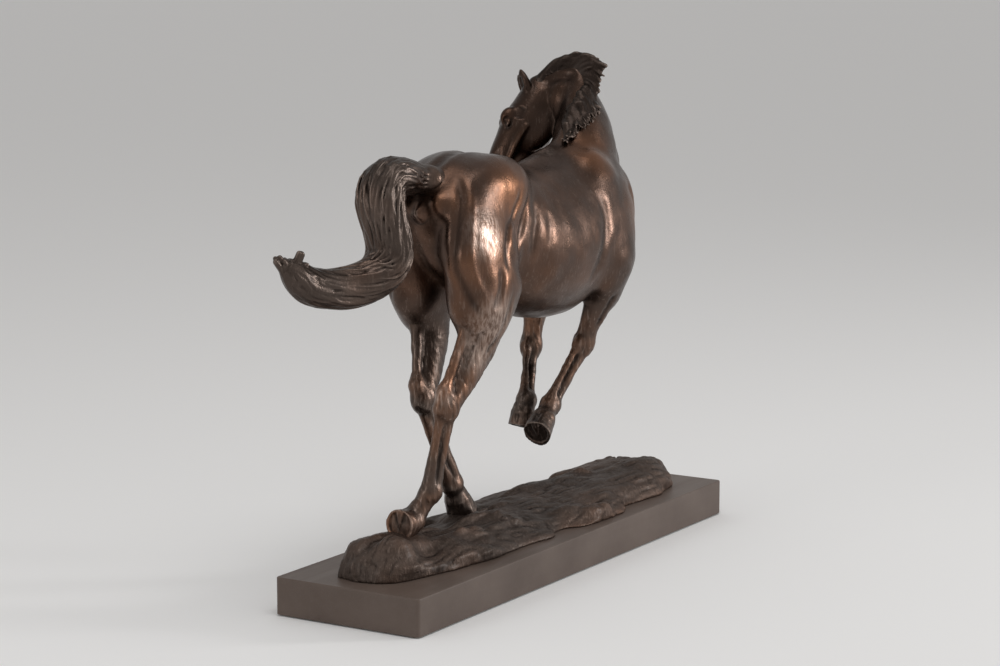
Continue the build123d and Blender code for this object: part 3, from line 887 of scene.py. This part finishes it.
class Nodes:
    """A material's node tree, with short ways to add and join its nodes."""

    def __init__(self, name):
        self.material = bpy.data.materials.new(name)
        self.material.use_nodes = True
        self.tree = self.material.node_tree
        self.shader = self.tree.nodes["Principled BSDF"]
        self.place = self.add("ShaderNodeTexCoord").outputs["Object"]

    def add(self, kind, **values):
        node = self.tree.nodes.new(kind)
        for name, value in values.items():
            socket = name.replace("_", " ").title()
            if socket in node.inputs:
                self.give(node, socket, value)
            else:
                setattr(node, name, value)
        return node

    def put(self, socket, value):
        """Joins a socket to the output given, or sets its own value."""
        if isinstance(value, bpy.types.NodeSocket):
            self.tree.links.new(value, socket)
        else:
            socket.default_value = value

    def give(self, node, name, value):
        self.put(node.inputs[name], value)

    def noise(self, scale, detail, roughness=0.55, stretch=None):
        place = self.place
        if stretch:
            place = self.add("ShaderNodeMapping", vector=place, scale=stretch).outputs["Vector"]
        made = self.add("ShaderNodeTexNoise", vector=place, scale=scale, detail=detail, roughness=roughness)
        return made.outputs["Fac"]

    def math(self, operation, a, b, c=0.0):
        made = self.add("ShaderNodeMath", operation=operation)
        for socket, value in zip(made.inputs, (a, b, c)):
            self.put(socket, value)
        return made.outputs[0]

    def range(self, value, low, high, out_low=0.0, out_high=1.0):
        """The value, moved from between low and high to between the two outs, and held there."""
        made = self.tree.nodes.new("ShaderNodeMapRange")
        for socket, given in zip(made.inputs, (value, low, high, out_low, out_high)):
            self.put(socket, given)
        return made.outputs[0]

    def mix(self, factor, a, b):
        """Colour a where the factor is nothing, and b where it is one."""
        made = self.add("ShaderNodeMix", data_type="RGBA")
        for socket, value in zip((made.inputs[0], made.inputs[6], made.inputs[7]), (factor, a, b)):
            self.put(socket, (*value, 1) if isinstance(value, tuple) else value)
        return made.outputs[2]

    def bump(self, height, distance, over=None):
        made = self.add("ShaderNodeBump", height=height, distance=distance, strength=1.0)
        if over is not None:
            self.give(made, "Normal", over)
        return made.outputs["Normal"]

    def near(self, place, reach):
        """One at a place given in metres, falling to nothing at the reach."""
        away = self.add("ShaderNodeVectorMath", operation="DISTANCE")
        self.tree.links.new(self.place, away.inputs[0])
        away.inputs[1].default_value = place
        return self.range(away.outputs["Value"], reach, 0.2 * reach)

    def height(self, lean):
        """How high a place is, in metres, with a share of how far it is to the left."""
        parts = self.add("ShaderNodeSeparateXYZ", vector=self.place)
        return self.math("MULTIPLY_ADD", parts.outputs["Y"], lean, parts.outputs["Z"])

    def attribute(self, name):
        return self.add("ShaderNodeAttribute", attribute_name=name).outputs["Fac"]


DARK = (0.020, 0.013, 0.010)
BROWN = (0.098, 0.058, 0.042)
GREY_BROWN = (0.096, 0.072, 0.060)
COPPER = (0.33, 0.140, 0.065)
ROSE = (0.60, 0.47, 0.40)
# Where the patina is warmer, as (place in metres, reach): haunch, breast and base of the neck.
BLUSHES = [
    ((-0.060, -0.036, 0.270), 0.032), ((0.108, -0.030, 0.240), 0.030), ((0.072, -0.026, 0.288), 0.026),
]
# Rose spots that are partly rubbed bronze and partly painted highlight: the outside of the thigh and gaskin,
# a hock, the tail, the withers.
RUB_AND_HIGHLIGHT_SPOTS = [
    ((-0.093, -0.040, 0.186), 0.026), ((-0.102, -0.034, 0.166), 0.018), ((-0.100, -0.040, 0.246), 0.020),
    ((-0.147, -0.012, 0.226), 0.014), ((-0.126, -0.018, 0.140), 0.012), ((0.040, 0.003, 0.286), 0.012),
]


def bronze(name, body, copper, rub, gloss, grain, strokes):
    """Patinated bronze: dark in the hollows, brown over all, rubbed to copper and rose where it is proud,
    with painted shade over its upper left and painted highlights in spots.
    """
    n = Nodes(name)
    ridge, bulge = n.attribute("ridge"), n.attribute("bulge")
    cloud = n.noise(28, 5, 0.6)
    fleck = n.noise(420, 3, 0.6)
    stroke = n.noise(520, 3, 0.6, stretch=(1.0, 1.0, 0.16))
    low = n.range(n.height(0.0), 0.215, 0.15)
    body = n.mix(low, body, GREY_BROWN)
    tone = n.mix(n.range(cloud, 0.30, 0.70, 0.45, 0.0), body, DARK)
    warm = n.math("MULTIPLY", n.range(n.noise(17, 3, 0.5), 0.45, 0.72), copper)
    warm = n.math("MULTIPLY", warm, n.range(bulge, 0.0, 0.22, 0.35, 1.0))
    for place, reach in BLUSHES:
        warm = n.math("MAXIMUM", warm, n.math("MULTIPLY", n.near(place, reach), copper))
    tone = n.mix(warm, tone, COPPER)
    # Painted shade: the bronze turns darker upwards and to the left, over the head, the upper left of the
    # neck and the top of the croup.
    tone = n.mix(n.range(n.height(0.6), 0.278, 0.312, 0.0, 0.68), tone, DARK)
    hollow = n.range(ridge, -0.16, 0.02, 1.0, 0.0)
    tone = n.mix(n.math("MULTIPLY", hollow, 0.85), tone, DARK)
    proud = n.math("MULTIPLY", n.range(ridge, 0.10, 0.42), n.range(fleck, 0.35, 0.6, 0.35, 1.0))
    proud = n.math("MULTIPLY", proud, 0.5 * rub)
    # Painted highlights: rose spots, partly rubbed bronze, where the light falls brightest on the thigh,
    # gaskin, hock, tail and withers.
    for place, reach in RUB_AND_HIGHLIGHT_SPOTS:
        rub_and_highlight = n.math("MULTIPLY", n.near(place, reach), n.range(stroke, 0.38, 0.62, 0.05, 0.6))
        proud = n.math("MAXIMUM", proud, rub_and_highlight)
    scratch = n.range(low, 0.0, 1.0, 0.25 * strokes, strokes)
    scratch = n.math("MULTIPLY", n.range(stroke, 0.56, 0.72), scratch)
    # Rose over the proud ridges, over the spots of painted highlight and over the streaks low on the legs.
    tone = n.mix(n.math("MAXIMUM", proud, scratch), tone, ROSE)
    n.give(n.shader, "Base Color", tone)
    n.shader.inputs["Metallic"].default_value = 1.0
    rough = n.range(n.noise(90, 4, 0.6), 0.3, 0.7, gloss - 0.06, gloss + 0.12)
    rough = n.math("ADD", rough, n.math("MULTIPLY", hollow, 0.22))
    rough = n.math("ADD", rough, n.math("MULTIPLY", low, 0.10))
    n.give(n.shader, "Roughness", rough)
    n.shader.inputs["Coat Weight"].default_value = 0.12
    n.shader.inputs["Coat Roughness"].default_value = 0.30
    pits = n.bump(n.noise(900, 2, 0.5), grain * 0.6)
    lines = n.bump(stroke, n.range(low, 0.0, 1.0, grain * 0.4, grain * 1.8), over=pits)
    n.give(n.shader, "Normal", n.bump(n.noise(210, 4, 0.62), grain, over=lines))
    return n.material


def honed_stone():
    """Dark grey-brown stone, honed to a soft sheen, with fine pale grains and faint streaks of the saw."""
    n = Nodes("honed stone")
    cloud = n.range(n.noise(16, 6, 0.62), 0.3, 0.7)
    tone = n.mix(cloud, (0.082, 0.057, 0.045), (0.128, 0.095, 0.078))
    grain = n.range(n.noise(1500, 2, 0.5), 0.56, 0.74)
    tone = n.mix(n.math("MULTIPLY", grain, 0.35), tone, (0.13, 0.115, 0.105))
    n.give(n.shader, "Base Color", tone)
    streak = n.noise(60, 4, 0.6, stretch=(0.06, 1.0, 1.4))
    n.give(n.shader, "Roughness", n.range(streak, 0.3, 0.7, 0.36, 0.50))
    n.shader.inputs["Specular IOR Level"].default_value = 0.32
    n.give(n.shader, "Normal", n.bump(n.noise(700, 3, 0.55), 0.00004))
    return n.material


def felt():
    n = Nodes("felt")
    n.give(n.shader, "Base Color", n.mix(n.noise(900, 3), (0.010, 0.011, 0.010), (0.032, 0.034, 0.031)))
    n.shader.inputs["Roughness"].default_value = 0.95
    n.shader.inputs["Sheen Weight"].default_value = 0.3
    n.give(n.shader, "Normal", n.bump(n.noise(1800, 4), 0.0002))
    return n.material


def zinc():
    n = Nodes("zinc")
    n.give(n.shader, "Base Color", n.mix(n.noise(140, 3), (0.50, 0.50, 0.49), (0.66, 0.66, 0.65)))
    n.shader.inputs["Metallic"].default_value = 1.0
    n.give(n.shader, "Roughness", n.range(n.noise(260, 3), 0.3, 0.7, 0.3, 0.42))
    return n.material


def paint_cad(materials):
    """The CAD solids that show as they are take their finish."""
    for node, material in materials.items():
        mesh = frame["nodes"][node].data
        mesh.materials.clear()
        mesh.materials.append(material)


LEGS = {
    "hind_leg_right": (hind_leg, HIND_RIGHT, RIGHT),
    "hind_leg_left": (hind_leg, HIND_LEFT, LEFT),
    "foreleg_right": (fore_leg, FORE_RIGHT, RIGHT),
    "foreleg_left": (fore_leg, FORE_LEFT, LEFT),
}


def body(clay):
    trunk(clay)
    croup(clay)
    withers_and_breast(clay)


def finish(clay):
    """The folds of the hide, and the unevenness the modeller's hand leaves all over."""
    flank_folds(clay)
    clay.roughen(0.45, (11, 11, 11), np.random.default_rng(5), 0.1)


def build_torso(material):
    clay = Clay((-132, -56, 152), (150, 56, 322), 1.15)
    body(clay)
    for make, joints, side in LEGS.values():
        make(clay, joints, side)
    neck(clay)
    finish(clay)
    cuts = [
        (*NECK_SEAM, -200, 200),
        (vec(0, 0, HAUNCH_SEAM), vec(0, 0, -1), -200, -34),
        (vec(0, 0, SHOULDER_SEAM), vec(0, 0, -1), 30, 200),
    ]
    piece("torso", clay, material, "torso", cuts)


def build_leg(name, material):
    make, joints, side = LEGS[name]
    seam = HAUNCH_SEAM if make is hind_leg else SHOULDER_SEAM
    places = np.array(joints)
    low, high = places.min(0) - 24, places.max(0) + 24
    low[2], high[2] = places[:, 2].min() - 14, seam + 12
    clay = Clay(low, high, 0.62)
    body(clay)
    make(clay, joints, side)
    finish(clay)
    clay.roughen(0.32, (2.2, 2.2, 7), np.random.default_rng(9), 0.3)
    piece(name, clay, material, name, [(vec(0, 0, seam), vec(0, 0, 1), -400, 400)])


def build_neck(material):
    """The neck's casting; its clay is handed on, for the mane to lie on."""
    clay = Clay((30, -40, 252), (146, 60, 358), 0.72)
    body(clay)
    neck(clay)
    skull(clay)
    finish(clay)
    cuts = [(NECK_SEAM[0], -NECK_SEAM[1], -400, 400), (*HEAD_SEAM, -400, 400)]
    piece("neck", clay, material, "neck", cuts)
    return clay


def build_head(material):
    clay = Clay((30, 10, 218), (124, 84, 356), 0.55)
    neck(clay)
    skull(clay)
    finish(clay)
    piece("head", clay, material, "head", [(HEAD_SEAM[0], -HEAD_SEAM[1], -400, 400)])


def build_horse(materials):
    """Each casting is sculpted with what it joins, then cut at its seams."""
    build_torso(materials["horse"])
    for name in LEGS:
        build_leg(name, materials["horse"])
    skin = build_neck(materials["horse"])
    build_head(materials["horse"])

    clay = Clay((40, -36, 276), (136, 60, 366), 0.5)
    mane(clay, skin, np.random.default_rng(7))
    piece("mane", clay, materials["hair_dark"], "mane")

    clay = Clay((-256, -26, 192), (-92, 48, 306), 0.52)
    tail(clay, np.random.default_rng(3))
    piece("tail", clay, materials["hair"], "tail")

    clay = Clay((-198, -52, 24), (198, 52, 64), 0.93)
    ground(clay, np.random.default_rng(11))
    piece("ground", clay, materials["earth"], "ground")


FLOOR_REACH = 12.0


def stage():
    """A pale floor that runs to the horizon."""
    mesh = bpy.data.meshes.new("floor")
    corners = [(x * FLOOR_REACH, y * FLOOR_REACH, 0) for x, y in ((-1, -1), (1, -1), (1, 1), (-1, 1))]
    mesh.from_pydata(corners, [], [(0, 1, 2, 3)])
    floor = bpy.data.objects.new("floor", mesh)
    bpy.context.scene.collection.objects.link(floor)
    n = Nodes("pale floor")
    n.shader.inputs["Base Color"].default_value = (0.88, 0.875, 0.87, 1)
    n.shader.inputs["Roughness"].default_value = 0.8
    mesh.materials.append(n.material)


def light(name, place, target, size, power, spread):
    """An oblong lamp of a size in metres and a power in watts, with its spread in degrees."""
    data = bpy.data.lights.new(name, "AREA")
    data.shape = "RECTANGLE"
    data.size, data.size_y = size
    data.energy = power
    data.spread = np.radians(spread)
    thing = bpy.data.objects.new(name, data)
    bpy.context.scene.collection.objects.link(thing)
    thing.location = place
    thing.rotation_euler = (Vector(target) - Vector(place)).to_track_quat("-Z", "Y").to_euler()


def lights():
    """A tall soft box off the horse's right front, a broad one overhead, and a dim even room."""
    world = bpy.data.worlds.new("room")
    world.use_nodes = True
    background = world.node_tree.nodes["Background"]
    background.inputs["Color"].default_value = (0.88, 0.87, 0.86, 1)
    background.inputs["Strength"].default_value = 0.58
    bpy.context.scene.world = world
    bpy.context.scene.view_settings.view_transform = "Standard"
    light("key", (1.45, -2.05, 0.58), (0, 0, 0.22), (0.34, 0.56), 6.6, 100)
    light("overhead", (-0.35, -0.55, 1.9), (-0.3, -0.5, 0), (1.1, 1.1), 9, 180)
    light("fill", (-2.0, 0.5, 0.7), (0, 0, 0.1), (0.7, 0.9), 5, 180)


# Where the camera stands in metres, and which way it looks in degrees.
CAMERA_PLACE = (-1.6344, -0.998, 0.4762)
CAMERA_YAW, CAMERA_PITCH = 31.72, 9.28


def camera():
    data = bpy.data.cameras.new("camera")
    data.lens = 100
    data.sensor_width = 36
    thing = bpy.data.objects.new("camera", data)
    thing.location = CAMERA_PLACE
    thing.rotation_euler = (np.radians(90 - CAMERA_PITCH), 0, np.radians(CAMERA_YAW - 90))
    bpy.context.scene.collection.objects.link(thing)
    bpy.context.scene.camera = thing


MATERIALS = {
    "horse": bronze("bronze horse", BROWN, copper=0.55, rub=0.7, gloss=0.28, grain=0.00016, strokes=0.28),
    "hair": bronze("bronze tail hair", GREY_BROWN, copper=0.2, rub=1.0, gloss=0.36, grain=0.00025,
                   strokes=0.2),
    "hair_dark": bronze("bronze mane hair", (0.055, 0.040, 0.033), copper=0.05, rub=0.6, gloss=0.38,
                        grain=0.00025, strokes=0.1),
    "earth": bronze("bronze ground", (0.082, 0.060, 0.048), copper=0.2, rub=0.4, gloss=0.46, grain=0.0004,
                    strokes=0.12),
}
build_horse(MATERIALS)
paint_cad({
    "plinth": honed_stone(), "felt_pad": felt(), "bolts": zinc(), "washers": zinc(),
    "hoof_pins": MATERIALS["earth"],
})
stage()
lights()
camera()
